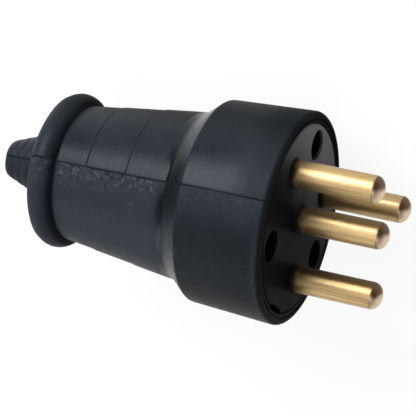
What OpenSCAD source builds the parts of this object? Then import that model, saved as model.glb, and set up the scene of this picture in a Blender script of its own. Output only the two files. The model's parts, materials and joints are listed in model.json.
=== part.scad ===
// Three-phase power plug with a moulded rubber hood and round contact pins.
// The plug lies on its head as it comes to rest: pins along +X, floor at Z = 0, millimetres.

/* [Contact pins] */
// diameter of each pin
pin_d = 7; // [6:0.1:8]
// length of each pin in front of the face
pin_l = 23.6; // [20:0.2:30]
// height of the domed pin end
pin_dome_h = 1.65; // [0.8:0.05:3]
// place of the first phase pin round the axis, with the plug's weight lowest
pin_1_angle = 20.8; // [0:0.1:40]
// angle from the first phase pin to the second
pin_2_after = 151.5; // [144:0.5:158]
// angle from the second phase pin to the third
pin_3_after = 100; // [92:0.5:108]
// bore of the wire barrel
wire_d = 4.8; // [3:0.1:5.4]
// wall of the wire barrel
wire_wall = 2.1; // [1.6:0.1:2.6]
// depth of the wire bore
wire_depth = 8.2; // [7:0.2:10]
// length of the barrel behind the terminal block
barrel_free = 9; // [8:0.2:12]
// step from the pin out to its shank in the carrier
shank_step = 0.3; // [0.2:0.05:0.6]
// bevel round the barrel's end
barrel_bevel = 0.4; // [0.2:0.1:0.8]
// step from the barrel out to the shoulder that traps a pin
shoulder_step = 0.75; // [0.5:0.05:1.2]
// thickness of the shoulder that traps a pin
shoulder_t = 2.8; // [2:0.1:4]
// distance of the clamp screw from the barrel's end
clamp_at = 4; // [3:0.1:5]
// diameter of the clamp screw
clamp_d = 4; // [3:0.1:4.6]
// length of the clamp screw
clamp_l = 3.2; // [2.6:0.1:4]
// depth of the clamp screw's top in the barrel
clamp_set = 0.2; // [0:0.1:0.6]

/* [Terminal block] */
// wall of the block outside the wire barrels
block_wall = 2.15; // [1.6:0.05:3]
// thickness of the block
block_t = 6; // [5:0.2:8]
// width of the cradle's arm
arm_w = 10; // [7:0.5:12]
// thickness of the cradle's arm
arm_t = 3; // [2:0.2:4]
// how far the arm lies inside the cradle's back
arm_set = 0.6; // [0.2:0.1:1.2]
// distance from the block to the cradle
cradle_at = 17; // [14:0.5:20]
// length of the cradle along the cable
cradle_l = 10; // [8:0.5:12]
// thickness of the cradle behind the cable
cradle_wall = 7.3; // [6:0.1:8]
// diameter of the cable that the cradle takes
cable_d = 11; // [9:0.2:13]
// gap left between the cradle and the clamp
cradle_gap = 1.6; // [0.8:0.1:2.4]
// thickness of the clamp over the cable
clamp_wall = 1.9; // [1.4:0.1:2.6]
// wall between the cable and a cord clamp screw
cord_wall = 0.5; // [0.3:0.1:1]
// wall outside a cord clamp screw
cord_edge = 1.1; // [0.8:0.1:1.6]
// depth of a cord clamp screw in the cradle
cord_grip = 3.8; // [3:0.1:5]

/* [Contact carrier] */
// ledge of the carrier outside the terminal block
carrier_ledge = 1.7; // [1:0.1:2.4]
// thickness of the carrier
carrier_t = 9.8; // [8.6:0.2:13]
// how far the carrier's face lies behind the front rim
face_set = 0.2; // [0.1:0.1:0.5]
// bevel round the carrier's front edge
carrier_bevel = 0.4; // [0.2:0.1:1]
// length of the prying notch in the carrier's edge
notch_l = 8; // [5:0.5:12]
// width of the prying notch
notch_w = 1.4; // [0.8:0.1:2]
// depth of the prying notch
notch_depth = 2.5; // [1:0.5:5]
// angle from the prying notch to the second phase pin
notch_before = 30; // [24:1:38]

/* [Screws] */
// rim left between a screw hole and the carrier's edge
sink_edge = 1.3; // [0.9:0.1:1.8]
// diameter of the screw hole in the face
sink_d = 8; // [6.8:0.1:8.6]
// depth of the screw hole in the face
sink_depth = 5.6; // [4.6:0.1:6.4]
// angle from the third phase pin to the first carrier screw
screw_1_after = 58; // [52:0.5:64]
// angle from the first phase pin to the second carrier screw
screw_2_after = 67.5; // [60:0.5:76]
// angle from the second phase pin to the third carrier screw
screw_3_after = 45; // [42:0.5:54]
// diameter of each screw
screw_d = 3; // [2.5:0.1:3.4]
// length of a carrier screw behind its nut
screw_end = 0.6; // [0.2:0.1:1.6]
// diameter of each screw head
screw_head_d = 5.6; // [5:0.1:6.4]
// height of each screw head
screw_head_h = 2.2; // [1.6:0.1:2.8]
// width of the slot in a screw
slot_w = 0.9; // [0.6:0.1:1.2]
// depth of the slot in a screw
slot_depth = 1.1; // [0.6:0.1:1.4]
// width across the flats of a nut
nut_w = 5.5; // [5:0.1:6]
// thickness of a nut
nut_t = 2.4; // [2:0.1:3]

/* [Rubber head] */
// diameter of the head at its front rim
head_d = 55; // [52:0.5:62]
// width of the rubber ring next to the carrier
ring_w = 0.8; // [0.5:0.1:1.4]
// bevel at the mouth of the carrier's pocket
ring_bevel = 0.25; // [0.1:0.05:0.4]
// width of the moulded line in the lip
line_w = 0.5; // [0.3:0.1:0.8]
// depth of the moulded line in the lip
line_depth = 0.7; // [0.6:0.1:1.2]
// width of the rounded crest outside the moulded line
lip_w = 1.8; // [1.8:0.1:2.4]
// rounding of the crest's outer side
rim_fillet = 1.3; // [0.8:0.1:1.3]
// rounding of the crest's inner side
crest_fillet = 0.35; // [0.1:0.05:0.4]
// degrees by which the head narrows towards the grip
head_draft = 3; // [2:0.25:5]
// rubber behind the pins where the head meets the grip
head_wall = 2.8; // [2.4:0.2:6]
// length of the sloping shoulder behind the head
shoulder_l = 5; // [4:0.1:6]
// rounding between the head and its shoulder
shoulder_r = 1.2; // [0.8:0.1:4]
// rounding between the shoulder and the grip
cove_r = 3.6; // [1:0.2:6]
// depth of the flat that the soft head rests on
rest_flat = 0.06; // [0.04:0.01:0.2]

/* [Grip] */
// room left between the cord clamp and the grip's wall
cord_room = 3.55; // [2:0.05:5]
// thickness of the rubber wall of the grip
grip_wall = 4.4; // [3.4:0.1:5.5]
// length of the grip
grip_l = 33.2; // [28:0.2:40]
// drop in radius from the grip's front to its back
grip_taper = 4.3; // [2.5:0.1:5.5]
// distance from the head to the first step ring
step_1_at = 12.4; // [9:0.2:15]
// distance from the head to the second step ring
step_2_at = 24.1; // [19:0.1:27]
// drop in radius at each step ring
step_drop = 0.15; // [0.1:0.05:0.5]
// distance from the head to the cavity's narrow part
throat_in = 4.2; // [3:0.2:6]
// length of the funnel from the cavity to the cable's bore
funnel_l = 6; // [4:0.5:9]

/* [Collar] */
// rise of the round collar above the grip
collar_rise = 2.65; // [1.5:0.05:3.5]
// thickness of the round collar
collar_t = 7.3; // [5.6:0.1:9]

/* [Cable boot] */
// length of the ringed boot
boot_l = 13.8; // [10:0.2:20]
// bore for the cable
boot_bore_d = 6.4; // [4.4:0.2:8]
// wall of the boot at its end
boot_wall = 1.6; // [1.2:0.1:2.4]
// rise in radius from the boot's end to the collar
boot_taper = 5.1; // [3:0.1:6]
// number of rings on the boot
boot_rings = 5; // [3:1:8]
// depth of the grooves between the rings
boot_groove = 0.3; // [0.15:0.05:0.5]

/* [Clearances] */
// radial gap round pins, barrels, screws and nuts
fit_gap = 0.1; // [0.05:0.01:0.2]
// gap round the carrier and the block
seat_gap = 0.1; // [0.05:0.01:0.3]
// gap round the wire barrels in the chamber behind the block
chamber_gap = 0.4; // [0.2:0.05:1]

/* [Hidden] */
$fn = 72;
EPS = 0.01;
CUT = 1;

rubber_black = [0.13, 0.14, 0.16];
carrier_grey = [0.28, 0.27, 0.29];
block_brown = [0.34, 0.25, 0.2];
brass = [0.79, 0.64, 0.36];
steel = [0.62, 0.63, 0.65];

// places round the axis, from +Y towards +Z
pin_2_angle = pin_1_angle + pin_2_after;
pin_3_angle = pin_2_angle + pin_3_after;
earth_angle = (pin_1_angle + pin_3_angle - 360)/2;
arm_angle = (pin_1_angle + pin_2_angle)/2;
notch_angle = pin_2_angle - notch_before;
screw_angles = [pin_3_angle + screw_1_after, pin_1_angle + screw_2_after, pin_2_angle + screw_3_after];
pin_angles = [pin_1_angle, pin_2_angle, pin_3_angle];

// radii from the head inwards, each inside what holds it
head_front_r = head_d/2;
line_out = head_front_r - lip_w;
line_in = line_out - line_w;
pocket_r = line_in - ring_w;
carrier_r = pocket_r - seat_gap;
screw_circle_r = carrier_r - sink_edge - sink_d/2;
block_r = carrier_r - carrier_ledge;
barrel_d = wire_d + 2*wire_wall;
shoulder_d = barrel_d + 2*shoulder_step;
shank_d = pin_d + 2*shank_step;
pin_circle_r = block_r - block_wall - fit_gap - barrel_d/2;
chamber_r = max(pin_circle_r + barrel_d/2, screw_circle_r + screw_d/2 + fit_gap) + chamber_gap;

// the cord clamp and the grip round it
clamp_h = cable_d/2 + clamp_wall;
cradle_r = cable_d/2 + cradle_wall;
cord_screw_at = cable_d/2 + cord_wall + fit_gap + screw_d/2;
cradle_w = 2*(cord_screw_at + screw_d/2 + cord_edge);
cord_screw_l = clamp_h + cradle_gap/2 + cord_grip;
cord_reach = norm([clamp_h + screw_head_h, cord_screw_at + screw_head_d/2]);
throat_r = cord_reach + cord_room;
grip_front_r = throat_r + grip_wall;
grip_back_r = grip_front_r - grip_taper;
collar_ring_r = grip_back_r + collar_rise - collar_t/2;
boot_tip_r = boot_bore_d/2 + boot_wall;
boot_base_r = boot_tip_r + boot_taper;

// stations along the plug's axis, from the front rim backwards
barrel_l = block_t + barrel_free;
carrier_back = -face_set - carrier_t;
block_back = carrier_back - block_t;
barrel_end = carrier_back - barrel_l;
chamber_end = barrel_end - chamber_gap;
head_back = chamber_end - head_wall;
shoulder_at = head_back + shoulder_l;
throat_at = head_back - throat_in;
step_1 = head_back - step_1_at;
step_2 = head_back - step_2_at;
grip_back = head_back - grip_l;
cavity_end = grip_back + funnel_l;
collar_at = grip_back - sqrt(pow(collar_t/2, 2) - pow(grip_back_r - collar_ring_r, 2));
collar_back = collar_at - collar_t/2;
boot_end = collar_back - boot_l;
sink_back = -face_set - sink_depth;
screw_l = sink_back - block_back + screw_end;
cradle_front = block_back - cradle_at;
cradle_back = cradle_front - cradle_l;
tip_at = pin_l - face_set;
dome_r = (pow(pin_d/2, 2) + pow(pin_dome_h, 2))/(2*pin_dome_h);

// the plug lies on the side of its head, so its axis tips up by the head's draft
rest_lift = head_front_r*cos(head_draft) - rest_flat;
lowest_pin = max([for (a = pin_angles) -sin(a)*pin_circle_r]);
rest_front = (tip_at - dome_r)*cos(head_draft) + dome_r + lowest_pin*sin(head_draft);
rest_back = boot_end*cos(head_draft) - (boot_tip_r - boot_groove)*sin(head_draft);
rest_shift = -(rest_front + rest_back)/2;

// radius of the head's side and of the grip's stepped side at a station
grip_slope = (grip_taper - 2*step_drop)/grip_l;
function head_r(x) = head_front_r + x*tan(head_draft);
function steps_to(x) = (x < step_1 ? 1 : 0) + (x < step_2 ? 1 : 0);
function grip_r(x) = grip_front_r + (x - head_back)*grip_slope - step_drop*steps_to(x);
cavity_r = grip_r(cavity_end) - grip_wall;

// the points of an arc
function arc(c, r, a0, a1, n) = [for (i = [0:n]) let (a = a0 + (a1 - a0)*i/n) [c[0] + r*cos(a), c[1] + r*sin(a)]];

// the points that round the corner b between a and c
function corner(a, b, c, r, n) =
    let (u = (a - b)/norm(a - b), v = (c - b)/norm(c - b), half = acos(u*v)/2)
    let (m = b + (u + v)/norm(u + v)*r/sin(half), p = b + u*r/tan(half), q = b + v*r/tan(half))
    let (a0 = atan2(p[1] - m[1], p[0] - m[0]), a1 = atan2(q[1] - m[1], q[0] - m[0]))
    let (d = a1 - a0 > 180 ? a1 - a0 - 360 : a1 - a0 < -180 ? a1 - a0 + 360 : a1 - a0)
    arc(m, r, a0, a0 + d, n);

// the plug's resting place
module placed() {
    translate([rest_shift, 0, rest_lift])
        rotate([0, -head_draft, 0])
            children();
}

// a profile of radius and station turned about the plug's axis
module turned(points) {
    rotate([0, 90, 0])
        rotate_extrude()
            polygon(points);
}

// a rod along the plug's axis from one station to another
module rod(r, from, to) {
    translate([min(from, to), 0, 0])
        rotate([0, 90, 0])
            cylinder(r = r, h = abs(to - from));
}

// a place on a circle round the plug's axis
module around(angle, radius) {
    rotate([angle, 0, 0])
        translate([0, radius, 0])
            children();
}

module at_screws() {
    for (a = screw_angles)
        around(a, screw_circle_r)
            children();
}

module at_pins() {
    for (a = pin_angles)
        around(a, pin_circle_r)
            children();
    around(earth_angle, 0)
        children();
}

// the hood's outline: lip, crest, head, shoulder, stepped grip, collar and boot
function lip_side() =
    [[0, -face_set - ring_bevel], [pocket_r, -face_set - ring_bevel], [pocket_r + ring_bevel, -face_set],
     [line_in, -face_set], [line_in, -line_depth], [line_out, -line_depth]];
function head_side() =
    let (front = [head_front_r, 0], back = [head_r(shoulder_at), shoulder_at], grip = [grip_front_r, head_back])
    concat(corner([line_out, -line_depth], [line_out, 0], front, crest_fillet, 4),
           corner([line_out, 0], front, back, rim_fillet, 7),
           corner(front, back, grip, shoulder_r, 7),
           corner(back, grip, [grip_r(step_1), step_1], cove_r, 5));
function step_side(x) = [[grip_r(x), x], [grip_r(x) - step_drop, x - step_drop]];
function collar_side() = arc([collar_ring_r, collar_at], collar_t/2, acos((grip_back_r - collar_ring_r)*2/collar_t),
                             -90, 14);
function boot_r(x) = boot_base_r - (collar_back - x)*boot_taper/boot_l;
function boot_ring(i) =
    let (pitch = boot_l/boot_rings, x = collar_back - i*pitch)
    let (front = x - boot_groove, end = x - pitch, back = end + boot_groove)
    [[boot_r(front), front], [boot_r(back), back], [boot_r(end) - boot_groove, end]];
function hood_side() =
    concat(lip_side(), head_side(), step_side(step_1), step_side(step_2), collar_side(),
           [[boot_base_r, collar_back]], [for (i = [0:boot_rings - 1]) each boot_ring(i)], [[0, boot_end]]);

// the hood's inside: cable bore, funnel, cavity, chamber and the stepped pocket for block and carrier
function cavity_side() =
    [[0, boot_end - CUT], [boot_bore_d/2, boot_end - CUT], [boot_bore_d/2, grip_back], [cavity_r, cavity_end],
     [throat_r, throat_at], [chamber_r, chamber_end], [chamber_r, block_back - seat_gap],
     [block_r + seat_gap, block_back - seat_gap], [block_r + seat_gap, carrier_back], [pocket_r, carrier_back],
     [pocket_r, CUT], [0, CUT]];

// the space under the floor, which the soft head presses flat against
module below_floor() {
    rotate([0, head_draft, 0])
        translate([boot_end, -head_front_r, -rest_lift - head_front_r])
            cube([head_front_r - boot_end, head_d, head_front_r]);
}

module rubber_body() {
    color(rubber_black)
        placed()
            difference() {
                turned(hood_side());
                turned(cavity_side());
                below_floor();
            }
}

module contact_carrier() {
    color(carrier_grey)
        placed()
            difference() {
                turned([[0, -face_set], [carrier_r - carrier_bevel, -face_set],
                        [carrier_r, -face_set - carrier_bevel], [carrier_r, carrier_back], [0, carrier_back]]);
                at_pins() {
                    rod(shank_d/2 + fit_gap, CUT, carrier_back - CUT);
                    rod(shoulder_d/2 + fit_gap, carrier_back + shoulder_t, carrier_back - CUT);
                }
                at_screws() {
                    rod(sink_d/2, CUT, sink_back);
                    rod(screw_d/2 + fit_gap, CUT, carrier_back - CUT);
                }
                around(notch_angle, carrier_r - notch_w)
                    translate([-face_set - notch_depth, 0, -notch_l/2])
                        cube([notch_depth + CUT, 2*notch_w + CUT, notch_l]);
            }
}

// the cradle's half round outline across the cable, on one side of the split
module cradle_half(from, to) {
    intersection() {
        rod(cradle_r, cradle_front, cradle_back);
        translate([cradle_back, min(from, to), -cradle_w/2])
            cube([cradle_l, abs(to - from), cradle_w]);
    }
}

// a place for each cord clamp screw, with the screw's own axis along +X
module at_cord_screws() {
    for (s = [-1, 1])
        translate([(cradle_front + cradle_back)/2, -clamp_h, s*cord_screw_at])
            rotate([0, 0, 90])
                children();
}

module terminal_block() {
    color(block_brown)
        placed()
            difference() {
                union() {
                    rod(block_r, carrier_back, block_back);
                    rotate([arm_angle, 0, 0]) {
                        cradle_half(cradle_gap/2, cradle_r);
                        translate([cradle_front - EPS, cradle_r - arm_t - arm_set, -arm_w/2])
                            cube([cradle_at + 2*EPS, arm_t, arm_w]);
                    }
                }
                at_pins()
                    rod(barrel_d/2 + fit_gap, carrier_back + CUT, block_back - CUT);
                at_screws() {
                    rod(screw_d/2 + fit_gap, carrier_back + CUT, block_back - CUT);
                    translate([block_back - CUT, 0, 0])
                        rotate([0, 90, 0])
                            cylinder(r = (nut_w/2 + fit_gap)/cos(30), h = nut_t + CUT, $fn = 6);
                }
                rod(cable_d/2, cradle_front + CUT, cradle_back - CUT);
                rotate([arm_angle, 0, 0])
                    at_cord_screws()
                        rod(screw_d/2 + fit_gap, 0, cord_screw_l + fit_gap);
            }
}

// one contact pin on the plug's axis: domed rod, shank, shoulder and wire barrel
module contact_pin() {
    difference() {
        turned(concat([[0, barrel_end], [barrel_d/2 - barrel_bevel, barrel_end],
                       [barrel_d/2, barrel_end + barrel_bevel], [barrel_d/2, carrier_back],
                       [shoulder_d/2, carrier_back], [shoulder_d/2, carrier_back + shoulder_t],
                       [shank_d/2, carrier_back + shoulder_t], [shank_d/2, -face_set], [pin_d/2, -face_set]],
                      arc([0, tip_at - dome_r], dome_r, acos(pin_d/2/dome_r), 90, 14)));
        rod(wire_d/2, barrel_end - CUT, barrel_end + wire_depth);
        translate([barrel_end + clamp_at, 0, 0])
            rotate([-90, 0, 0])
                cylinder(r = clamp_d/2 + fit_gap, h = barrel_d);
    }
}

module phase_pin(angle) {
    color(brass)
        placed()
            around(angle, pin_circle_r)
                contact_pin();
}

module phase_pin_1() {
    phase_pin(pin_1_angle);
}

module phase_pin_2() {
    phase_pin(pin_2_angle);
}

module phase_pin_3() {
    phase_pin(pin_3_angle);
}

module earth_pin() {
    color(brass)
        placed()
            around(earth_angle, 0)
                contact_pin();
}

// a slotted screw along +X with its head's seat at the origin
module slotted_screw(l) {
    difference() {
        union() {
            rod(screw_head_d/2, -screw_head_h, 0);
            rod(screw_d/2, -EPS, l);
        }
        translate([-screw_head_h - CUT, -screw_head_d, -slot_w/2])
            cube([slot_depth + CUT, 2*screw_head_d, slot_w]);
    }
}

module terminal_screws() {
    color(steel)
        placed()
            at_pins()
                translate([barrel_end + clamp_at, barrel_d/2 - clamp_set - clamp_l, 0])
                    rotate([-90, 0, 0])
                        difference() {
                            cylinder(r = clamp_d/2, h = clamp_l);
                            translate([-clamp_d, -slot_w/2, clamp_l - slot_depth])
                                cube([2*clamp_d, slot_w, slot_depth + CUT]);
                        }
}

module carrier_screws() {
    color(steel)
        placed()
            at_screws()
                translate([sink_back, 0, 0])
                    rotate([0, 0, 180])
                        slotted_screw(screw_l);
}

module carrier_nuts() {
    color(steel)
        placed()
            at_screws()
                translate([block_back, 0, 0])
                    rotate([0, 90, 0])
                        difference() {
                            cylinder(r = nut_w/2/cos(30), h = nut_t, $fn = 6);
                            translate([0, 0, -CUT])
                                cylinder(r = screw_d/2 + fit_gap, h = nut_t + 2*CUT);
                        }
}

module cord_clamp() {
    color(steel)
        placed()
            rotate([arm_angle, 0, 0])
                difference() {
                    cradle_half(-cradle_gap/2, -clamp_h);
                    rod(cable_d/2, cradle_front + CUT, cradle_back - CUT);
                    at_cord_screws()
                        rod(screw_d/2 + fit_gap, -CUT, clamp_h);
                }
}

module cord_clamp_screws() {
    color(steel)
        placed()
            rotate([arm_angle, 0, 0])
                at_cord_screws()
                    slotted_screw(cord_screw_l);
}

rubber_body();
contact_carrier();
terminal_block();
phase_pin_1();
phase_pin_2();
phase_pin_3();
earth_pin();
terminal_screws();
carrier_screws();
carrier_nuts();
cord_clamp();
cord_clamp_screws();
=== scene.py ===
"""Looks of a three-phase power plug on a pale floor: rubber hood, contact carrier, brass pins and screws."""

import json
import logging
import math
from dataclasses import dataclass, replace
from enum import Enum

import bpy
import numpy as np
from mathutils import Matrix, Vector

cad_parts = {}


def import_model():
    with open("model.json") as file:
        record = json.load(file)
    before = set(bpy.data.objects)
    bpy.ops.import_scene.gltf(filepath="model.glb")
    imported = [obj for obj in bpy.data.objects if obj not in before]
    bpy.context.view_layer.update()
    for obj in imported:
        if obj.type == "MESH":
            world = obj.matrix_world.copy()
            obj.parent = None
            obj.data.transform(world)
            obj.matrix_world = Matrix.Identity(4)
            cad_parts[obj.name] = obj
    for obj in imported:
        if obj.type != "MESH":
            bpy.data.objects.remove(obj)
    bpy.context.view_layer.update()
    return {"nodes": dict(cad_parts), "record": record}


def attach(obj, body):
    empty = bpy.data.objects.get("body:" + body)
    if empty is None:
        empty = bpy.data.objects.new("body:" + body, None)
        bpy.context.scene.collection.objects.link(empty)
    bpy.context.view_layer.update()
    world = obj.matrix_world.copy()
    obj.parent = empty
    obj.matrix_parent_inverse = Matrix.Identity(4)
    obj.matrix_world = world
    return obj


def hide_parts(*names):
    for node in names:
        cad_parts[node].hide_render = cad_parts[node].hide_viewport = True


LOG = logging.getLogger("power_plug")
MM = 0.001
# Edges that turn by more than this are sharp.
CREASE = math.radians(28)
# Points that agree to this many decimals of a metre are one point.
MERGE_DECIMALS = 6
# Where the lamps aim, in metres.
LAMP_AIM = (0.0, 0.0, 0.027)
# Share of painted dark reflection on the level-side flank of each pin.
FLANK_REFLECTION = {"phase_pin_1": 0.1, "phase_pin_2": 0.9, "phase_pin_3": 0.1, "earth_pin": 0.95}
WHITE = (1.0, 1.0, 1.0, 1.0)

Colour = tuple[float, float, float]
Vec = tuple[float, float, float]
Point = tuple[float, float]
# Where a soft step is 0 and where it is 1.
Edge = tuple[float, float]
# A soft line: its middle, and the distances from it where it is 0 and where it is 1.
Line = tuple[float, float, float]
# A soft zone: where it leaves 0, is 1, leaves 1 and is 0 again.
Zone = tuple[float, float, float, float]


class Slot(Enum):
    """The record's material slots that rebuilt pieces stand in."""

    RUBBER = "rubber"
    BRASS = "brass"


@dataclass(frozen=True)
class PlugAxes:
    """The plug's own axes in the row frame.

    Attributes:
        rim: centre of the front rim, in metres.
        along: the plug's axis, towards the pins.
        level: level direction square to the axis, where angles start.
        square: direction square to both, at a quarter turn.
    """

    rim: np.ndarray
    along: np.ndarray
    level: np.ndarray
    square: np.ndarray

    @classmethod
    def of_record(cls, record: dict, face_set: float) -> "PlugAxes":
        """Find the axes from the earth pin, which lies on the plug's axis.

        Args:
            record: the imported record.
            face_set: depth of the carrier's face behind the rim, where the pin's wall starts, in millimetres.

        Returns:
            The axes.
        """
        earth = next(m for m in record["mounts"] if m["name"] == "earth_pin")
        along, level = np.array(earth["axis"], float), np.array([0.0, 1.0, 0.0])
        half = (earth["dims"]["length_mm"] / 2 - face_set) * MM
        return cls(np.array(earth["pos_m"], float) - along * half, along, level, np.cross(along, level))

    def place(self, station: np.ndarray, radius: np.ndarray, angle: np.ndarray) -> np.ndarray:
        """Points in the row frame: the rim's centre, the station along the axis and the radius at the angle.

        Args:
            station: millimetres along the axis, from the rim towards the pins.
            radius: millimetres from the axis.
            angle: degrees round the axis, from the level direction.

        Returns:
            The points, in metres.
        """
        turn = np.radians(angle)[..., None]
        out = np.cos(turn) * self.level + np.sin(turn) * self.square
        return self.rim + MM * (station[..., None] * self.along + radius[..., None] * out)


class Sock:
    """A socket of a material's nodes; arithmetic on values adds Math nodes."""

    def __init__(self, paint: "Paint", socket: bpy.types.NodeSocket | None) -> None:
        """Keep the socket and the paint it belongs to."""
        self.paint = paint
        self.socket = socket

    def _math(self, operation: str, *values: "Sock | float") -> "Sock":
        """The result of one Math node."""
        return self.paint.make("ShaderNodeMath", {"operation": operation}, dict(enumerate(values)))

    def __add__(self, other: "Sock | float") -> "Sock":
        """Sum of two values."""
        return self._math("ADD", self, other)

    __radd__ = __add__

    def __sub__(self, other: "Sock | float") -> "Sock":
        """Difference of two values."""
        return self._math("SUBTRACT", self, other)

    def __rsub__(self, other: float) -> "Sock":
        """Difference from a number on the left."""
        return self._math("SUBTRACT", other, self)

    def __mul__(self, other: "Sock | float") -> "Sock":
        """Product of two values."""
        return self._math("MULTIPLY", self, other)

    __rmul__ = __mul__

    def __truediv__(self, other: "Sock | float") -> "Sock":
        """Quotient of two values."""
        return self._math("DIVIDE", self, other)

    def __abs__(self) -> "Sock":
        """Size without the sign."""
        return self._math("ABSOLUTE", self)

    def most(self, other: "Sock | float") -> "Sock":
        """The larger of two values."""
        return self._math("MAXIMUM", self, other)

    def step(self, low: "Sock | float", high: "Sock | float") -> "Sock":
        """A soft step from 0 at low to 1 at high, or the other way round where low is the larger.

        Args:
            low: value at which the step is 0.
            high: value at which the step is 1.

        Returns:
            The stepped value.
        """
        return self.paint.make("ShaderNodeMapRange", {"interpolation_type": "SMOOTHSTEP"},
                               {"Value": self, "From Min": low, "From Max": high})

    def near(self, line: Line) -> "Sock":
        """A soft line: 1 close to its middle and 0 away from it."""
        middle, none, full = line
        return abs(self - middle).step(none, full)

    def within(self, zone: Zone) -> "Sock":
        """A soft zone: 1 inside it and 0 outside."""
        start, full, fading, end = zone
        return self.step(start, full) * self.step(end, fading)


class Paint:
    """The nodes of one material or world."""

    def __init__(self, tree: bpy.types.NodeTree) -> None:
        """Start from an empty node tree."""
        self.tree = tree
        tree.nodes.clear()

    @classmethod
    def material(cls, name: str) -> tuple["Paint", bpy.types.Material]:
        """A new material and the paint for its nodes.

        Args:
            name: the material's name.

        Returns:
            The paint and the material.
        """
        made = bpy.data.materials.new(name)
        made.use_nodes = True
        return cls(made.node_tree), made

    def make(self, kind: str, settings: dict | None = None, sockets: dict | None = None,
             out: int | str = 0) -> Sock:
        """Add a node.

        Args:
            kind: the node's type.
            settings: its own properties, set first.
            sockets: values or links of its inputs, by name or number.
            out: the output that is wanted, by name or number.

        Returns:
            That output, or an empty socket where the node has none.
        """
        node = self.tree.nodes.new(kind)
        for key, value in (settings or {}).items():
            setattr(node, key, value)
        for key, value in (sockets or {}).items():
            if isinstance(value, Sock):
                self.tree.links.new(value.socket, node.inputs[key])
            else:
                node.inputs[key].default_value = value
        return Sock(self, node.outputs[out]) if len(node.outputs) else Sock(self, None)

    def noise(self, where: Sock, scale: float, detail: float = 2.0, rough: float = 0.5) -> Sock:
        """Cloudy noise between 0 and 1.

        Args:
            where: the coordinates.
            scale: clouds to the metre.
            detail: number of finer layers.
            rough: share that each finer layer adds.

        Returns:
            The noise.
        """
        return self.make("ShaderNodeTexNoise", {},
                         {"Vector": where, "Scale": scale, "Detail": detail, "Roughness": rough})

    def places(self) -> Sock:
        """Object coordinates, in metres."""
        return self.make("ShaderNodeTexCoord", out="Object")

    def axis(self, where: Sock, name: str) -> Sock:
        """One part, X, Y or Z, of a place or a direction."""
        return self.make("ShaderNodeSeparateXYZ", {}, {0: where}, out=name)

    def stretched(self, scale: Vec, turn: Vec) -> Sock:
        """Object coordinates that are turned, then scaled.

        Args:
            scale: factors along the three axes.
            turn: angles about the three axes, in radians.

        Returns:
            The coordinates.
        """
        return self.make("ShaderNodeMapping", {"vector_type": "TEXTURE"},
                         {"Vector": self.places(), "Rotation": turn, "Scale": tuple(1.0 / s for s in scale)})

    def station(self, axes: PlugAxes) -> Sock:
        """Distance along the plug's axis from the front rim towards the pins.

        Args:
            axes: the plug's axes.

        Returns:
            The distance, in millimetres.
        """
        reach = self.make("ShaderNodeVectorMath", {"operation": "DOT_PRODUCT"},
                          {0: self.places(), 1: tuple(axes.along)}, out="Value")
        return (reach - float(axes.rim @ axes.along)) / MM

    def attribute(self, name: str) -> Sock:
        """A value that the mesh carries at its points."""
        return self.make("ShaderNodeAttribute", {"attribute_name": name}, out="Fac")

    def eye(self) -> Sock:
        """1 for rays straight from the camera, else 0."""
        return self.make("ShaderNodeLightPath", out="Is Camera Ray")

    def mirror(self) -> Sock:
        """1 for rays off a glossy surface or through a clear one, else 0."""
        clear = self.make("ShaderNodeLightPath", out="Is Transmission Ray")
        return self.make("ShaderNodeLightPath", out="Is Glossy Ray").most(clear)

    def blend(self, share: Sock | float, first: Sock | Colour, second: Sock | Colour) -> Sock:
        """A mix of two colours.

        Args:
            share: 0 gives the first colour and 1 the second.
            first: the first colour.
            second: the second colour.

        Returns:
            The mixed colour.
        """
        ends = [c if isinstance(c, Sock) else (*c, 1.0) for c in (first, second)]
        return self.make("ShaderNodeMix", {"data_type": "RGBA"}, {0: share, 6: ends[0], 7: ends[1]}, out=2)

    def bump(self, height: Sock, depth: float, strength: float) -> Sock:
        """A normal that leans with a height.

        Args:
            height: the height, about 0 to 1.
            depth: how deep a height of 1 is, in millimetres.
            strength: share of the lean that is used.

        Returns:
            The normal.
        """
        return self.make("ShaderNodeBump", {},
                         {"Height": height, "Distance": depth * MM, "Strength": strength})

    def surface(self, sockets: dict) -> None:
        """End the material in one Principled shader.

        Args:
            sockets: its inputs, by name.
        """
        shader = self.make("ShaderNodeBsdfPrincipled", {}, sockets)
        self.make("ShaderNodeOutputMaterial", {}, {"Surface": shader})


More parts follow.
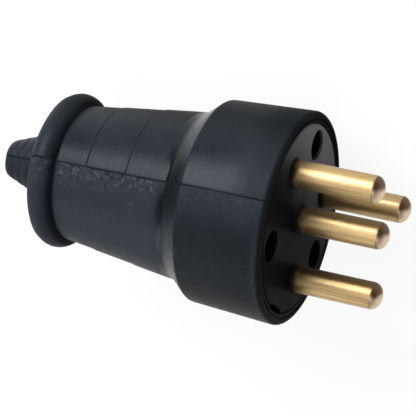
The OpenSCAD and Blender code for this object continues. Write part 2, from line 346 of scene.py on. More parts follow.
@dataclass(frozen=True)
class HoodMarks:
    """Where the hood's looks change, in millimetres.

    Stations count from the front rim towards the pins. Ways count along the surface from the mould seam:
    above 0 in the half past it, below 0 in the smooth half before it.

    Attributes:
        past: way where the half past the seam starts.
        far: way where the smooth half loses its polish and painted shade starts.
        seam: way of the seam's dirty line.
        rings: stations of the dirty lines in the grip's step rings.
        ring_end: way where those dirty lines run out.
        dust: stations of the dust on the step rings.
        groove: stations of the painted shade in the groove in front of the collar.
        cove: stations of the cove between head and grip.
        cove_shade: way of the painted shade in the cove.
        grip: stations of the grip.
        head: stations of the head's side.
        head_dark: way where painted shade darkens the head's side past the seam.
        collar: stations of the collar.
        behind: station behind which collar and boot lie.
        crest: station where painted shade darkens the crest of the lip.
        lip: station where the head dulls towards the lip.
        painted_light: way where the painted light past the seam is strongest.
        band_start: way where the scuffed band is full.
        band_least: shortest way at which it ends.
        band_more: how much further it can reach.
        scratches: station and way of each scratch.
    """

    past: Edge = (-0.02, 0.08)
    far: Edge = (-11.0, -24.0)
    seam: Line = (0.08, 0.3, 0.06)
    rings: tuple[Line, Line] = ((-40.7, 0.36, 0.08), (-52.4, 0.36, 0.08))
    ring_end: Edge = (-34.0, -10.0)
    dust: tuple[Line, Line] = ((-40.68, 0.2, 0.06), (-52.38, 0.2, 0.06))
    groove: Zone = (-63.0, -61.8, -61.3, -60.7)
    cove: Zone = (-31.2, -29.2, -23.8, -22.8)
    cove_shade: Line = (0.0, 14.0, 4.0)
    grip: Zone = (-64.0, -59.0, -33.0, -29.0)
    head: Zone = (-26.0, -22.0, -3.0, -1.0)
    head_dark: Edge = (4.0, 15.0)
    collar: Zone = (-69.5, -68.0, -61.8, -60.9)
    behind: Edge = (-60.9, -61.8)
    crest: Edge = (-1.1, -0.3)
    lip: Edge = (-13.0, -3.0)
    painted_light: Edge = (12.0, 28.0)
    band_start: float = 0.6
    band_least: float = 2.5
    band_more: float = 9.0
    scratches: tuple[tuple[Line, Line], ...] = (((-38.9, 1.4, 1.2), (7.0, 0.24, 0.08)),
                                                ((-37.5, 0.24, 0.08), (8.3, 1.5, 1.3)))


class HoodPatterns:
    """The patterns of the hood's rubber, each a share from 0 to about 1 over its surface.

    Attributes:
        cloud: slow clouds.
        wave: the uneven skin.
        grain: the finest grain.
        pebble: the coarser grain.
        below: the half past the seam.
        cove: the cove between head and grip.
        away: the smooth half far from the seam.
        behind: collar and boot.
        lip: the smooth half of the head near the lip.
        band: the scuffed band past the seam.
        painted_light: painted light on grip and collar past the seam, strongest far from it.
        shade: painted shade far from the seam, and on the head's side past it.
        dust: dust on the step rings.
        scuffs: scuffed specks and scratches.
        dirt_and_shade: dirty seam and step rings, and painted shade in the groove and on the lip's crest.
        grime_and_shade: the same, with painted shade in the cove near the seam and dark flecks in the band.
    """

    def __init__(self, paint: Paint, at: HoodMarks) -> None:
        """Make the patterns: noises, then zones of the hood, then what lies on them.

        Args:
            paint: the material's nodes.
            at: where the looks change.
        """
        where = paint.places()
        station, way = paint.attribute("station"), paint.attribute("past_seam")
        self.cloud, self.wave = paint.noise(where, 110.0, 3.0), paint.noise(where, 300.0)
        self.grain, self.pebble = paint.noise(where, 2400.0), paint.noise(where, 1200.0, 3.0, 0.6)
        fleck = 0.45 * paint.noise(where, 700.0) + 0.55 * paint.noise(where, 2000.0, 2.0, 0.6)
        grip, head, collar = (station.within(zone) for zone in (at.grip, at.head, at.collar))
        self.below = way.step(*at.past)
        self.cove = station.within(at.cove)
        self.away = way.step(*at.far) * (1.0 - self.cove)
        self.behind = station.step(*at.behind)
        self.lip = station.step(*at.lip) * (1.0 - self.below)
        band_end = at.band_least + at.band_more * paint.noise(where, 170.0)
        self.band = (grip + 0.25 * head).most(0.7 * collar) * self.below * way.step(band_end, at.band_start)
        # Painted light on grip and collar past the seam, strongest far from it.
        self.painted_light = (0.7 + 0.3 * way.step(*at.painted_light)) * self.below * grip.most(collar)
        # Painted shade far from the seam, and on the head's side past it.
        self.shade = (0.8 * self.away).most(0.7 * head * way.step(*at.head_dark))
        self.dust = self.away * sum(station.near(line) for line in at.dust)
        scratch = sum(station.near(place) * way.near(side) for place, side in at.scratches)
        specks = self.band * fleck.step(0.52, 0.6)
        self.scuffs = (0.65 * specks).most(0.4 * scratch * self.pebble.step(0.35, 0.65))
        seam = way.near(at.seam) * (0.4 + 0.7 * self.cloud.step(0.4, 0.6))
        rings = sum(station.near(line) for line in at.rings) * (1.0 - self.below) * way.step(*at.ring_end)
        # Painted shade in the groove before the collar and on the lip's crest, joined to the dirty seam and
        # step rings.
        groove, crest = 0.75 * station.within(at.groove), 0.7 * station.step(*at.crest)
        self.dirt_and_shade = seam.most(rings).most(groove).most(crest)
        # Painted shade in the cove near the seam.
        cove_shade = self.cove * way.near(at.cove_shade)
        self.grime_and_shade = (0.85 * self.dirt_and_shade).most(0.9 * cove_shade).most(0.7 * self.band * fleck.step(0.47, 0.4))


@dataclass(frozen=True)
class RubberFinish:
    """Charcoal moulded rubber: one mould half smoother than the other, with a dirty seam between them.

    Past the seam lie a scuffed band and painted light; far before it lie painted shade and a lost polish.

    Attributes:
        dark: colour of clean rubber.
        pale: colour of the paler rubber in the clouds.
        painted_light: colour of the painted light past the seam.
        scuff: colour of the scuffed specks.
        grime_and_shade: colour of the dirty seam and step rings, the dark flecks, and all painted shade.
        smooth_half: roughness of the half before the seam.
        dull_half: roughness of the half past the seam.
        shine: specular level.
        tint: colour of its reflections.
        skin: depth of the grain, in millimetres.
        marks: where the looks change.
    """

    dark: Colour = (0.008, 0.0105, 0.0145)
    pale: Colour = (0.0115, 0.0145, 0.0195)
    painted_light: Colour = (0.018, 0.0215, 0.0295)
    scuff: Colour = (0.06, 0.066, 0.072)
    grime_and_shade: Colour = (0.0026, 0.0032, 0.0042)
    smooth_half: float = 0.31
    dull_half: float = 0.52
    shine: float = 0.115
    tint: Colour = (0.84, 0.94, 1.0)
    skin: float = 0.08
    marks: HoodMarks = HoodMarks()

    def colour(self, paint: Paint, on: HoodPatterns) -> Sock:
        """The rubber's colour: clouds, and each pattern's colour laid over what is there.

        Args:
            paint: the material's nodes.
            on: the patterns.

        Returns:
            The colour.
        """
        base = paint.blend(on.cloud.step(0.3, 0.75), self.dark, self.pale)
        # Painted light past the seam, painted shade far from it, then dust, scuffs, dirty lines and all other
        # painted shade.
        for share, colour in ((on.painted_light, self.painted_light), (on.shade, self.grime_and_shade), (0.4 * on.dust, self.scuff),
                              (on.scuffs, self.scuff), (on.grime_and_shade, self.grime_and_shade)):
            base = paint.blend(share, base, colour)
        return base

    def roughness(self, on: HoodPatterns) -> Sock:
        """The rubber's roughness: that of the halves, mottled, more where it is worn and less in the cove.

        Args:
            on: the patterns.

        Returns:
            The roughness.
        """
        halves = self.smooth_half + (self.dull_half - self.smooth_half) * on.below.most(1.4 * on.away)
        mottle = 0.1 * (on.cloud - 0.5) + 0.12 * (on.wave - 0.5) + 0.14 * (on.pebble - 0.5)
        worn = 0.15 * on.band + 0.4 * on.dirt_and_shade + 0.12 * on.behind + 0.26 * on.lip
        return halves + mottle + worn - on.cove * (0.13 + 0.1 * on.below)

    def material(self) -> bpy.types.Material:
        """Make the material from the hood's patterns.

        Returns:
            The material.
        """
        paint, made = Paint.material("moulded_rubber")
        on = HoodPatterns(paint, self.marks)
        height = (0.45 + 0.6 * on.below) * on.grain + 0.9 * on.wave + (0.4 + on.band) * on.pebble
        paint.surface({"Base Color": self.colour(paint, on), "Roughness": self.roughness(on),
                       "Specular IOR Level": self.shine, "Specular Tint": (*self.tint, 1.0),
                       "Normal": paint.bump(height, self.skin, 0.6)})
        return made


@dataclass(frozen=True)
class CarrierFinish:
    """Dark thermoset plastic with a fair polish; painted floor light makes its face paler down and to one
    side.

    Attributes:
        axes: the plug's axes.
        dark: colour of the plastic, left as painted shade where there is no painted floor light.
        pale: colour of the painted floor light where it is full.
        polish: roughness of the polished face.
        shine: specular level.
        middle: height of the face's middle, in millimetres.
        floor_light: distance from the middle, sideways and down, where the painted floor light starts and is
            full.
        face: station where the face starts, in millimetres.
        skin: depth of the grain, in millimetres.
    """

    axes: PlugAxes
    dark: Colour = (0.007, 0.007, 0.008)
    pale: Colour = (0.135, 0.134, 0.144)
    polish: float = 0.3
    shine: float = 0.006
    middle: float = 27.6
    floor_light: Edge = (-4.0, 31.0)
    face: Edge = (-1.2, -0.4)
    skin: float = 0.02

    def material(self) -> bpy.types.Material:
        """Make the material from slow clouds, the painted floor light and a fine grain.

        Returns:
            The material.
        """
        paint, made = Paint.material("carrier_plastic")
        where = paint.places()
        cloud, grain = paint.noise(where, 160.0, 3.0), paint.noise(where, 3200.0)
        across, height = paint.axis(where, "Y") / MM, paint.axis(where, "Z") / MM
        # Painted floor light: paler down and to one side of the face, dark as painted shade elsewhere.
        reach = self.middle - height + across + 10.0 * (cloud - 0.5)
        floor_light = reach.step(*self.floor_light) * paint.station(self.axes).step(*self.face)
        paint.surface({"Base Color": paint.blend(floor_light, self.dark, self.pale),
                       "Roughness": self.polish + 0.12 * cloud, "Specular IOR Level": self.shine,
                       "Normal": paint.bump(grain, self.skin, 0.4)})
        return made


@dataclass(frozen=True)
class MetalFinish:
    """Drawn or plated metal with streaks along the plug's axis.

    Pins also have painted dark reflections on feet, flank and noses, and a dirty ring with painted shade at
    the carrier.

    Attributes:
        name: the material's name.
        bright: colour of the clean metal.
        stain_and_reflection_colour: colour of the streaky stains, and of the painted dark reflections at the
            feet and on the flanks.
        polish: roughness of the clean metal.
        axes: the plug's axes.
        middle: how far to the level side a pin's middle lies, in millimetres.
        flank_reflection: share of painted dark reflection on a pin's flank.
        grime_and_shade: colour of the dirty ring with painted shade round the pins' feet.
        worn: colour of the rubbed noses on the side away from their painted dark reflection.
        nose_reflection: colour of the painted dark reflection on one side of the noses.
        nose_at: station where the noses' colour starts, in millimetres.
        foot: station where the painted dark reflection at the feet starts and is full.
        dirt_and_shade: station where the dirty ring with painted shade round the feet starts and is full.
        flank: distance to the level side where the painted dark reflection on the flank starts and is full.
        nose_reflection_edge: distance to the level side where the painted dark reflection on the noses starts
            and is full.
        shine: specular level of what covers the metal.
        skin: depth of the streaks, in millimetres.
    """

    name: str
    bright: Colour
    stain_and_reflection_colour: Colour
    polish: float
    axes: PlugAxes
    middle: float = 0.0
    flank_reflection: float = 0.0
    grime_and_shade: Colour = (0.014, 0.011, 0.008)
    worn: Colour = (0.74, 0.56, 0.4)
    nose_reflection: Colour = (0.13, 0.08, 0.045)
    nose_at: float = 21.3
    foot: Edge = (11.0, 0.0)
    dirt_and_shade: Edge = (2.4, 0.2)
    flank: Edge = (2.5, 3.15)
    nose_reflection_edge: Edge = (0.0, 1.7)
    shine: float = 0.1
    skin: float = 0.01

    def material(self) -> bpy.types.Material:
        """Make the material from long streaks, blotches, stains, painted reflections and shade, and a dark
        turned line where the noses start.

        Returns:
            The material.
        """
        paint, made = Paint.material(self.name)
        lean = math.asin(float(self.axes.along[2]))
        streak = paint.noise(paint.stretched((0.008, 1.0, 1.0), (0.0, -lean, 0.0)), 1500.0, 2.0, 0.6)
        blotch = paint.noise(paint.places(), 420.0, 3.0)
        uneven = blotch - 0.5
        station = paint.station(self.axes)
        across = paint.axis(paint.places(), "Y") / MM - self.middle
        line, foot = 0.6 * station.near((self.nose_at, 0.26, 0.06)), 0.7 * station.step(*self.foot)
        # Painted dark reflection along the pin's flank on the level side.
        flank = self.flank_reflection * (across + 0.5 * uneven).step(*self.flank)
        stain_and_reflection = 0.5 * streak.step(0.42, 0.75) + 0.1 * blotch.step(0.55, 0.8)
        # Stains, with the painted dark reflections at the feet and on the flank and the turned line laid in.
        stain_and_reflection = stain_and_reflection.most(line).most(foot).most(flank)
        nose = station.step(self.nose_at - 0.05, self.nose_at + 0.15)
        # Painted dark reflection on the level side of each nose; the other side keeps the rubbed colour.
        tip = paint.blend((across + 2.0 * uneven).step(*self.nose_reflection_edge), self.worn, self.nose_reflection)
        # Dirty ring with painted shade round the pins' feet.
        dirt_and_shade = (station + 2.4 * uneven).step(*self.dirt_and_shade)
        base = paint.blend(nose, paint.blend(stain_and_reflection, self.bright, self.stain_and_reflection_colour), tip)
        paint.surface({"Base Color": paint.blend(dirt_and_shade, base, self.grime_and_shade), "Metallic": 1.0 - dirt_and_shade,
                       "Roughness": self.polish + 0.08 * blotch + 0.1 * (streak - 0.5) + 0.5 * dirt_and_shade,
                       "Specular IOR Level": self.shine, "Normal": paint.bump(streak, self.skin, 0.15)})
        return made


@dataclass(frozen=True)
class BlockFinish:
    """Brown moulded resin of the terminal block, which the hood hides.

    Attributes:
        dark: colour of the resin.
        pale: colour of its filler specks.
        dull: roughness of the resin.
        skin: depth of the specks, in millimetres.
    """

    dark: Colour = (0.06, 0.035, 0.022)
    pale: Colour = (0.12, 0.08, 0.055)
    dull: float = 0.5
    skin: float = 0.02

    def material(self) -> bpy.types.Material:
        """Make the material from filler specks.

        Returns:
            The material.
        """
        paint, made = Paint.material("block_resin")
        speck = paint.noise(paint.places(), 1400.0, 3.0)
        paint.surface({"Base Color": paint.blend(speck.step(0.5, 0.7), self.dark, self.pale),
                       "Roughness": self.dull + 0.1 * speck, "Normal": paint.bump(speck, self.skin, 0.4)})
        return made


def rounded(before: Point, corner: Point, after: Point, radius: float, count: int) -> np.ndarray:
    """Points of the arc that touches both lines of a corner.

    Its centre lies on the bisector, at the radius over the sine of the half angle from the corner. The points
    are the centre plus the radius times cosine and sine of evenly spaced angles.

    Args:
        before: a point on the line into the corner.
        corner: the corner.
        after: a point on the line out of it.
        radius: radius of the arc.
        count: number of points.

    Returns:
        Rows of radius and station.
    """
    a, b, c = (np.array(p, float) for p in (before, corner, after))
    u, v = (a - b) / np.linalg.norm(a - b), (c - b) / np.linalg.norm(c - b)
    half = math.acos(float(u @ v)) / 2
    middle = b + (u + v) / np.linalg.norm(u + v) * radius / math.sin(half)
    first, last = (b + w * radius / math.tan(half) - middle for w in (u, v))
    start, end = (math.degrees(math.atan2(w[1], w[0])) for w in (first, last))
    turn = np.radians(np.linspace(start, start + (end - start + 180) % 360 - 180, count))
    return middle + radius * np.stack([np.cos(turn), np.sin(turn)], 1)


def piece_of(name: str, points: np.ndarray, faces: np.ndarray) -> bpy.types.Object:
    """A piece at the origin from points and faces, smooth but for its sharp edges.

    Args:
        name: the piece's name.
        points: places in rows, in metres.
        faces: point numbers in rows, as many in each row.

    Returns:
        The piece.
    """
    mesh = bpy.data.meshes.new(name)
    mesh.vertices.add(len(points))
    mesh.vertices.foreach_set("co", points.astype(np.float32).ravel())
    mesh.loops.add(faces.size)
    mesh.loops.foreach_set("vertex_index", faces.astype(np.int32).ravel())
    mesh.polygons.add(len(faces))
    mesh.polygons.foreach_set("loop_start", np.arange(0, faces.size, faces.shape[1], dtype=np.int32))
    mesh.update(calc_edges=True)
    mesh.validate()
    mesh.shade_smooth()
    mesh.set_sharp_from_angle(angle=CREASE)
    piece = bpy.data.objects.new(name, mesh)
    bpy.context.scene.collection.objects.link(piece)
    return piece


def ring_faces(rows: int, cols: int) -> np.ndarray:
    """Faces of a grid that closes on itself both ways.

    Each face has a point, the next row's point, and the two beside them in the next column.

    Args:
        rows: number of rows.
        cols: number of columns.

    Returns:
        Point numbers, four in each row.
    """
    i, j = np.meshgrid(np.arange(rows), np.arange(cols), indexing="ij")
    near, far = i * cols, (i + 1) % rows * cols
    return np.stack([near + j, far + j, far + (j + 1) % cols, near + (j + 1) % cols], -1).reshape(-1, 4)


@dataclass(frozen=True)
class RubberHood:
    """The moulded hood: lip, head, shoulder, stepped grip, collar, ringed boot and the hollow inside.

    Sizes are millimetres and angles degrees; stations count from the front rim towards the pins.

    Attributes:
        head_r: radius of the head at the rim.
        head_draft: draft of the head's side.
        rim_fillet: radius of the rim's outer edge.
        crest_fillet: radius of the rim's inner edge, at the moulded line.
        line_out: outer radius of the moulded line.
        line_in: inner radius of the moulded line.
        line_depth: depth of the moulded line.
        ring_bevel: bevel of the lip's inner ring.
        pocket_r: radius of the pocket that holds the carrier.
        face_set: depth of the inner ring behind the rim.
        shoulder_at: station of the shoulder.
        shoulder_r: radius of the shoulder.
        head_back: station where the head meets the grip.
        cove_r: radius of the cove there.
        grip_r: radius of the grip there.
        grip_fall: fall of the grip's radius in a millimetre.
        step_rings: stations of the step rings.
        step_drop: drop of the radius at each of them, and its length.
        grip_back: station of the grip's end.
        collar_r: radius of the centre of the collar's arc.
        collar_at: station of that centre.
        collar_round: radius of the collar's arc.
        flash_angle: where the flash lies on that arc.
        flash_span: reach of closer points on both sides.
        flash_half: half width of the flash.
        flash_rise: height of the flash.
        boot_r: radius of the boot at its root.
        boot_fall: fall of the boot's radius in a millimetre.
        boot_rings: number of the boot's rings.
        boot_pitch: length of a ring.
        boot_groove: depth between two rings.
        bore_r: radius of the cable's bore.
        hollow: radius and station of the hollow's corners.
        seam_angle: where the mould seam lies round the axis.
        seam_step: drop of the surface past the seam.
        seam_run: length of that step across the seam.
        seam_fade: angles past the seam where the step has gone and where it is full.
        seam_groove: depth of the seam's groove.
        seam_half: half width of the groove.
        turn_step: step between the angles round the axis.
        fine_step: step between them at the seams.
        fine_span: reach of the fine steps on both sides.
        fine_clear: least gap from a fine angle to an even one.
        arc_points: points of the arcs of crest, rim, shoulder and cove.
        collar_points: points of the collar's arc.
        flash_points: closer points at the flash.
        ring_points: points of each ring of the boot.
    """

    head_r: float = 27.5
    head_draft: float = 3.0
    rim_fillet: float = 1.3
    crest_fillet: float = 0.35
    line_out: float = 25.7
    line_in: float = 25.2
    line_depth: float = 0.7
    ring_bevel: float = 0.25
    pocket_r: float = 24.4
    face_set: float = 0.2
    shoulder_at: float = -23.2
    shoulder_r: float = 1.2
    head_back: float = -28.2
    cove_r: float = 3.6
    grip_r: float = 22.103
    grip_fall: float = 0.12048
    step_rings: tuple[float, float] = (-40.6, -52.3)
    step_drop: float = 0.15
    grip_back: float = -61.4
    collar_r: float = 16.803
    collar_at: float = -64.91
    collar_round: float = 3.65
    flash_angle: float = -42.0
    flash_span: float = 4.0
    flash_half: float = 1.6
    flash_rise: float = 0.09
    boot_r: float = 9.9
    boot_fall: float = 0.36957
    boot_rings: int = 5
    boot_pitch: float = 2.76
    boot_groove: float = 0.26
    bore_r: float = 3.2
    hollow: tuple[Point, ...] = ((14.126, -55.4), (17.7, -32.4), (21.0, -25.4), (21.0, -16.1), (22.7, -16.1),
                                 (22.7, -10.0), (24.4, -10.0))
    seam_angle: float = 58.2
    seam_step: float = 0.1
    seam_run: float = 0.25
    seam_fade: Edge = (60.0, 15.0)
    seam_groove: float = 0.1
    seam_half: float = 0.16
    turn_step: float = 1.5
    fine_step: float = 0.1
    fine_span: float = 1.6
    fine_clear: float = 0.4
    arc_points: tuple[int, int, int, int] = (6, 15, 15, 11)
    collar_points: int = 42
    flash_points: int = 13
    ring_points: int = 10

    def grip_side(self, station: float, drops: int) -> Point:
        """Radius and station of the grip's side past that many step rings."""
        return self.grip_r + (station - self.head_back) * self.grip_fall - self.step_drop * drops, station

    def lip(self) -> np.ndarray:
        """The lip's inner ring and moulded line, from the pocket outwards."""
        face = -self.face_set
        return np.array([(self.pocket_r, face - self.ring_bevel), (self.pocket_r + self.ring_bevel, face),
                         (self.line_in, face), (self.line_in, -self.line_depth),
                         (self.line_out, -self.line_depth)])

    def head(self) -> np.ndarray:
        """The crest, the drafted side, the rounded shoulder and the cove at the grip.

        Returns:
            Rows of radius and station.
        """
        line, mouth = (self.line_out, -self.line_depth), (self.line_out, 0.0)
        front = (self.head_r, 0.0)
        back = (self.head_r + self.shoulder_at * math.tan(math.radians(self.head_draft)), self.shoulder_at)
        grip = (self.grip_r, self.head_back)
        side = self.grip_side(self.step_rings[0], 0)
        corners = ((line, mouth, front, self.crest_fillet), (mouth, front, back, self.rim_fillet),
                   (front, back, grip, self.shoulder_r), (back, grip, side, self.cove_r))
        return np.concatenate([rounded(*corner, count) for corner, count in zip(corners, self.arc_points)])

    def grip(self) -> np.ndarray:
        """The step rings of the grip, each a short slope down."""
        ends = [[self.grip_side(x, n), self.grip_side(x - self.step_drop, n + 1)]
                for n, x in enumerate(self.step_rings)]
        return np.array(ends).reshape(-1, 2)

    def collar(self) -> np.ndarray:
        """The round collar with a ring of flash: an arc whose radius swells by a narrow bell at one angle.

        Returns:
            Rows of radius and station.
        """
        rise = self.grip_side(self.grip_back, len(self.step_rings))[0] - self.collar_r
        even = np.linspace(-90.0, math.degrees(math.acos(rise / self.collar_round)), self.collar_points)
        close = self.flash_angle + np.linspace(-self.flash_span, self.flash_span, self.flash_points)
        angle = np.sort(np.concatenate([even, close]))[::-1]
        swell = self.flash_rise * np.exp(-((angle - self.flash_angle) / self.flash_half) ** 2)
        turn, reach = np.radians(angle), self.collar_round + swell
        return np.stack([self.collar_r + reach * np.cos(turn), self.collar_at + reach * np.sin(turn)], 1)

    def boot(self) -> np.ndarray:
        """The boot: a cone whose radius falls evenly, with pillowed rings.

        A groove's depth times the fourth power of the way from a ring's middle to its edge is taken off.

        Returns:
            Rows of radius and station.
        """
        turn = np.linspace(0.0, self.boot_rings, self.ring_points * self.boot_rings + 1)
        off = np.abs(2.0 * (turn % 1.0) - 1.0)
        along = turn * self.boot_pitch
        radius = self.boot_r - self.boot_fall * along - self.boot_groove * off ** 4
        return np.stack([radius, self.collar_at - self.collar_round - along], 1)

    def inside(self) -> np.ndarray:
        """The cable's bore and the stepped hollow, from the boot's end to the pocket."""
        end = self.collar_at - self.collar_round - self.boot_rings * self.boot_pitch
        return np.array([(self.bore_r, end), (self.bore_r, self.grip_back), *self.hollow])

    def turns(self) -> np.ndarray:
        """Angles round the axis: even steps, and fine steps at the two mould seams.

        Returns:
            The angles in order, in degrees.
        """
        even = np.arange(0.0, 360.0, self.turn_step)
        fine = np.arange(-self.fine_span, self.fine_span + self.fine_step / 10, self.fine_step)
        near = np.concatenate([self.seam_angle + fine, self.seam_angle + 180.0 + fine]) % 360.0
        apart = np.abs((even[:, None] - near + 180.0) % 360.0 - 180.0).min(1)
        return np.sort(np.concatenate([even[apart > self.fine_clear], near]))

    def sunk(self, across: np.ndarray, past: np.ndarray) -> np.ndarray:
        """How much the mould seam sinks the surface.

        Past the seam, and towards the other one, the surface lies a step lower, which fades away from them;
        at the seam itself there is a bell-shaped groove.

        Args:
            across: millimetres past the seam, along the surface.
            past: degrees past the seam.

        Returns:
            Millimetres along the outline's normal.
        """
        rise = np.clip(across / self.seam_run, 0.0, 1.0)
        gone, full = self.seam_fade
        fade = np.clip((gone - past) / (gone - full), 0.0, 1.0)
        groove = self.seam_groove * np.exp(-(across / self.seam_half) ** 2)
        return self.seam_step * rise * rise * (3 - 2 * rise) * fade + groove

    def build(self, axes: PlugAxes) -> bpy.types.Object:
        """Build the hood: its outline turned about the axis, with the mould seam sunk along its normal.

        Args:
            axes: the plug's axes.

        Returns:
            The hood, at the origin.
        """
        shell = np.concatenate([self.head(), self.grip(), self.collar(), self.boot()])
        parts = [self.lip(), shell, self.inside()]
        line = np.concatenate(parts)
        slope = np.gradient(line, axis=0)
        normal = np.stack([slope[:, 1], -slope[:, 0]], 1) / np.linalg.norm(slope, axis=1)[:, None]
        outer = np.concatenate([np.full(len(part), float(part is shell)) for part in parts])
        angle = self.turns()
        past = 90.0 - np.abs((angle - self.seam_angle - 90.0 + 180.0) % 360.0 - 180.0)
        across = np.radians(past)[None, :] * line[:, :1]
        sunk = self.sunk(across, past) * outer[:, None]
        radius = line[:, :1] + normal[:, :1] * sunk
        station = line[:, 1:] + normal[:, 1:] * sunk
        points = axes.place(station, radius, np.broadcast_to(angle, radius.shape))
        points[..., 2] = np.maximum(points[..., 2], 0.0)
        hood = piece_of("rubber_hood", points.reshape(-1, 3), ring_faces(*points.shape[:2]))
        for name, value in (("station", station), ("past_seam", across)):
            carried = hood.data.attributes.new(name, "FLOAT", "POINT")
            carried.data.foreach_set("value", value.astype(np.float32).ravel())
        return hood

    def dress(self, hood: bpy.types.Object, finish: RubberFinish) -> None:
        """Give the hood its rubber and let it stand for the CAD hood.

        Args:
            hood: the built hood.
            finish: its finish.
        """
        hood.data.materials.append(finish.material())
        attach(hood, "root")
        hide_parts("rubber_body")


@dataclass(frozen=True)
class ContactPin:
    """A brass pin: the CAD pin with its nose turned round.

    Attributes:
        mount: the pin's mount in the record.
        nose: length of the round nose, in millimetres.
        slack: how far behind the wall's end points still belong to the nose, in millimetres.
    """

    mount: dict
    nose: float = 2.6
    slack: float = 0.01

    def build(self, node: bpy.types.Object) -> bpy.types.Object:
        """Build the pin: the CAD pin's triangles, points merged, and the nose moved onto half an ellipse.

        A point at a share of the CAD dome's polar angle gets the pin's radius times the sine of that share of
        a quarter turn, and stands the nose's length times the cosine ahead of the nose's start.

        Args:
            node: the CAD pin.

        Returns:
            The pin, at the origin.
        """
        loose = np.empty(3 * len(node.data.vertices), np.float32)
        node.data.vertices.foreach_get("co", loose)
        corners = np.empty(len(node.data.loops), np.int32)
        node.data.loops.foreach_get("vertex_index", corners)
        loose = loose.reshape(-1, 3).astype(float)
        places = np.round(loose, MERGE_DECIMALS)
        first, merged = np.unique(places, axis=0, return_index=True, return_inverse=True)[1:]
        points, faces = loose[first], merged.ravel()[corners].reshape(-1, 3)
        faces = faces[(faces != np.roll(faces, 1, axis=1)).all(1)]
        along, middle = np.array(self.mount["axis"], float), np.array(self.mount["pos_m"], float)
        radius, wall = self.mount["dims"]["r_mm"] * MM, self.mount["dims"]["length_mm"] * MM / 2
        ahead = (points - middle) @ along - wall
        out = points - middle - (ahead + wall)[:, None] * along
        reach, dome = np.linalg.norm(out, axis=1), ahead.max()
        ball = (radius ** 2 + dome ** 2) / (2 * dome)
        turn = np.arcsin(np.minimum(reach, radius) / ball) / math.asin(radius / ball) * math.pi / 2
        stand = wall + dome - self.nose * MM * (1.0 - np.cos(turn))
        swell = radius * np.sin(turn) / np.maximum(reach, 1e-9)
        moved = middle + stand[:, None] * along + out * swell[:, None]
        points = np.where((ahead > -self.slack * MM)[:, None], moved, points)
        return piece_of("brass_" + self.mount["name"], points, faces)

    def dress(self, pin: bpy.types.Object, finish: MetalFinish) -> None:
        """Give the pin its brass and let it stand for the CAD pin.

        Args:
            pin: the built pin.
            finish: the brass of all pins, which gets this pin's name, place and share of painted dark
                reflection on its flank.
        """
        name, side = self.mount["name"], self.mount["pos_m"][1] / MM
        own = replace(finish, name="drawn_" + name, middle=side, flank_reflection=FLANK_REFLECTION[name])
        pin.data.materials.append(own.material())
        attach(pin, "root")
        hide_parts(self.mount["name"])


@dataclass(frozen=True)
class CarriedNodes:
    """CAD nodes whose shape is right and that only get a finish.

    Attributes:
        names: the nodes.
        finish: what they are made of.
    """

    names: tuple[str, ...]
    finish: CarrierFinish | MetalFinish | BlockFinish

    def dress(self, nodes: dict[str, bpy.types.Object]) -> None:
        """Put the finish on every slot of each node.

        Args:
            nodes: all CAD nodes by name.
        """
        made = self.finish.material()
        for name in self.names:
            materials = nodes[name].data.materials
            materials.clear()
            materials.append(made)
            LOG.info("%s keeps its CAD shape, in %s", name, made.name)


@dataclass(frozen=True)
class PhotoView:
    """The photograph's viewpoint.

    Attributes:
        place: where the camera stands, in metres.
        look: the direction it looks in.
        up: the picture's upward direction.
        lens: focal length, in millimetres.
        sensor: width of the sensor, in millimetres.
        clip: nearest and furthest distance that is seen, in metres.
    """

    place: Vec = (0.173470, 0.220409, 0.475718)
    look: Vec = (-0.320599, -0.420542, -0.848740)
    up: Vec = (-0.174203, 0.906932, -0.383573)
    lens: float = 179.137
    sensor: float = 36.0
    clip: tuple[float, float] = (0.01, 20.0)

    def make(self) -> Matrix:
        """Add the camera and make it the scene's.

        Returns:
            Its place and turn; the columns are right, up, backwards and the place.
        """
        look, up = Vector(self.look).normalized(), Vector(self.up).normalized()
        turn = Matrix((look.cross(up), up, -look)).transposed().to_4x4()
        stand = Matrix.Translation(self.place) @ turn
        lens = bpy.data.cameras.new("photo_view")
        lens.lens, lens.sensor_width = self.lens, self.sensor
        lens.clip_start, lens.clip_end = self.clip
        camera = bpy.data.objects.new("photo_view", lens)
        camera.matrix_world = stand
        bpy.context.scene.collection.objects.link(camera)
        bpy.context.scene.camera = camera
        return stand


@dataclass(frozen=True)
class SoftBox:
    """A rectangular lamp that faces the plug.

    Attributes:
        name: the lamp's name.
        way: direction from the plug, as shares of the picture's right, up and towards the viewer.
        distance: metres from the plug.
        size: width and height, in metres.
        power: watts.
    """

    name: str
    way: Vec
    distance: float
    size: Point
    power: float

    def make(self, view: Matrix) -> None:
        """Add the lamp.

        Args:
            view: the camera's place and turn.
        """
        lamp = bpy.data.lights.new(self.name, "AREA")
        lamp.shape, lamp.size, lamp.size_y, lamp.energy = "RECTANGLE", *self.size, self.power
        back = (view.to_3x3() @ Vector(self.way)).normalized()
        box = bpy.data.objects.new(self.name, lamp)
        box.matrix_world = (Matrix.Translation(Vector(LAMP_AIM) + back * self.distance)
                            @ (-back).to_track_quat("-Z", "Y").to_matrix().to_4x4())
        bpy.context.scene.collection.objects.link(box)


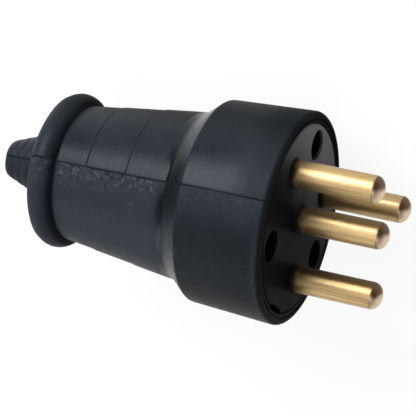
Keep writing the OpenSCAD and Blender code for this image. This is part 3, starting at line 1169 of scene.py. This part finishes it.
@dataclass(frozen=True)
class Studio:
    """A pale floor, a room that is bright at the horizon on one side and dim above, and soft boxes.

    Attributes:
        floor_half: half the floor's width, in metres.
        pale: colour of the floor to the light.
        glow: share of the floor's white that doesn't depend on the lamps.
        mirrored: share of that white which reflections get.
        ceiling: brightness of the room overhead.
        horizon: rise of a direction where the horizon's white ends and where it is full.
        bright_side: sideways part of a direction where the white ends and where it is full.
        spill: share of the horizon's white that lights dull surfaces.
        boxes: the lamps.
    """

    floor_half: float = 4.0
    pale: Colour = (0.9, 0.9, 0.9)
    glow: float = 0.88
    mirrored: float = 0.45
    ceiling: float = 0.25
    horizon: Edge = (0.42, 0.08)
    bright_side: Edge = (0.5, -0.4)
    spill: float = 0.2
    boxes: tuple[SoftBox, ...] = (
        SoftBox("key_box", (-0.56, 0.5, 0.64), 0.75, (0.56, 0.42), 8.0),
        SoftBox("top_box", (-0.36, -0.38, 0.85), 1.0, (0.6, 0.6), 3.2),
        SoftBox("low_box", (-0.72, -0.69, 0.0), 0.9, (0.6, 0.35), 3.0),
    )

    def floor_finish(self) -> bpy.types.Material:
        """Make the floor's material: pale to the light, white to the eye and partly so in reflections.

        Returns:
            The material, which still shows the plug's shadow.
        """
        paint, made = Paint.material("pale_floor")
        seen = paint.eye().most(paint.mirror() * self.mirrored)
        pale = paint.make("ShaderNodeBsdfDiffuse", {}, {"Color": (*self.pale, 1.0)})
        white = paint.make("ShaderNodeEmission", {}, {"Color": WHITE, "Strength": 1.0})
        mixed = paint.make("ShaderNodeMixShader", {}, {0: seen * self.glow, 1: pale, 2: white})
        paint.make("ShaderNodeOutputMaterial", {}, {"Surface": mixed})
        return made

    def floor(self) -> None:
        """Lay the floor as one square at height 0, outside the part."""
        h = self.floor_half
        mesh = bpy.data.meshes.new("floor")
        mesh.from_pydata([(-h, -h, 0.0), (h, -h, 0.0), (h, h, 0.0), (-h, h, 0.0)], [], [(0, 1, 2, 3)])
        mesh.materials.append(self.floor_finish())
        floor = bpy.data.objects.new("floor", mesh)
        bpy.context.scene.collection.objects.link(floor)

    def room(self) -> None:
        """Light the room: white at the horizon, and the ceiling's dim grey higher up and on one side.

        The camera sees the horizon white on every side, so that the background is white.
        """
        world = bpy.data.worlds.new("studio_room")
        world.use_nodes = True
        bpy.context.scene.world = world
        paint = Paint(world.node_tree)
        toward = paint.make("ShaderNodeTexCoord", out="Generated")
        side = paint.axis(toward, "Y").step(*self.bright_side)
        seen = paint.eye().most(side * (self.spill + (1.0 - self.spill) * paint.mirror()))
        white = paint.axis(toward, "Z").step(*self.horizon) * seen
        level = self.ceiling + (1.0 - self.ceiling) * white
        sky = paint.make("ShaderNodeBackground", {}, {"Color": WHITE, "Strength": level})
        paint.make("ShaderNodeOutputWorld", {}, {"Surface": sky})

    def make(self, view: Matrix) -> None:
        """Build floor, room and lamps.

        Args:
            view: the camera's place and turn.
        """
        self.floor()
        self.room()
        for box in self.boxes:
            box.make(view)
        bpy.context.scene.view_settings.view_transform = "Standard"


def main() -> None:
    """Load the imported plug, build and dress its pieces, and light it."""
    logging.basicConfig(level=logging.INFO, format="%(message)s")
    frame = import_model()
    hood = RubberHood()
    axes = PlugAxes.of_record(frame["record"], hood.face_set)
    shell = hood.build(axes)
    hood.dress(shell, RubberFinish())
    LOG.info("%s stands for the CAD hood, with %d faces", shell.name, len(shell.data.polygons))
    brass = MetalFinish("drawn_brass", (0.54, 0.385, 0.19), (0.13, 0.083, 0.035), 0.42, axes)
    steel = MetalFinish("plated_steel", (0.56, 0.57, 0.6), (0.3, 0.29, 0.28), 0.3, axes)
    for mount in frame["record"]["mounts"]:
        if mount["kind"] == "pin":
            pin = ContactPin(mount)
            drawn = pin.build(frame["nodes"][mount["name"]])
            pin.dress(drawn, brass)
            LOG.info("%s stands for the CAD pin, with %d faces", drawn.name, len(drawn.data.polygons))
    for carried in (
        CarriedNodes(("contact_carrier",), CarrierFinish(axes)),
        CarriedNodes(("terminal_screws", "carrier_screws", "carrier_nuts", "cord_clamp", "cord_clamp_screws"),
                     steel),
        CarriedNodes(("terminal_block",), BlockFinish()),
    ):
        carried.dress(frame["nodes"])
    Studio().make(PhotoView().make())


if __name__ == "__main__":
    main()
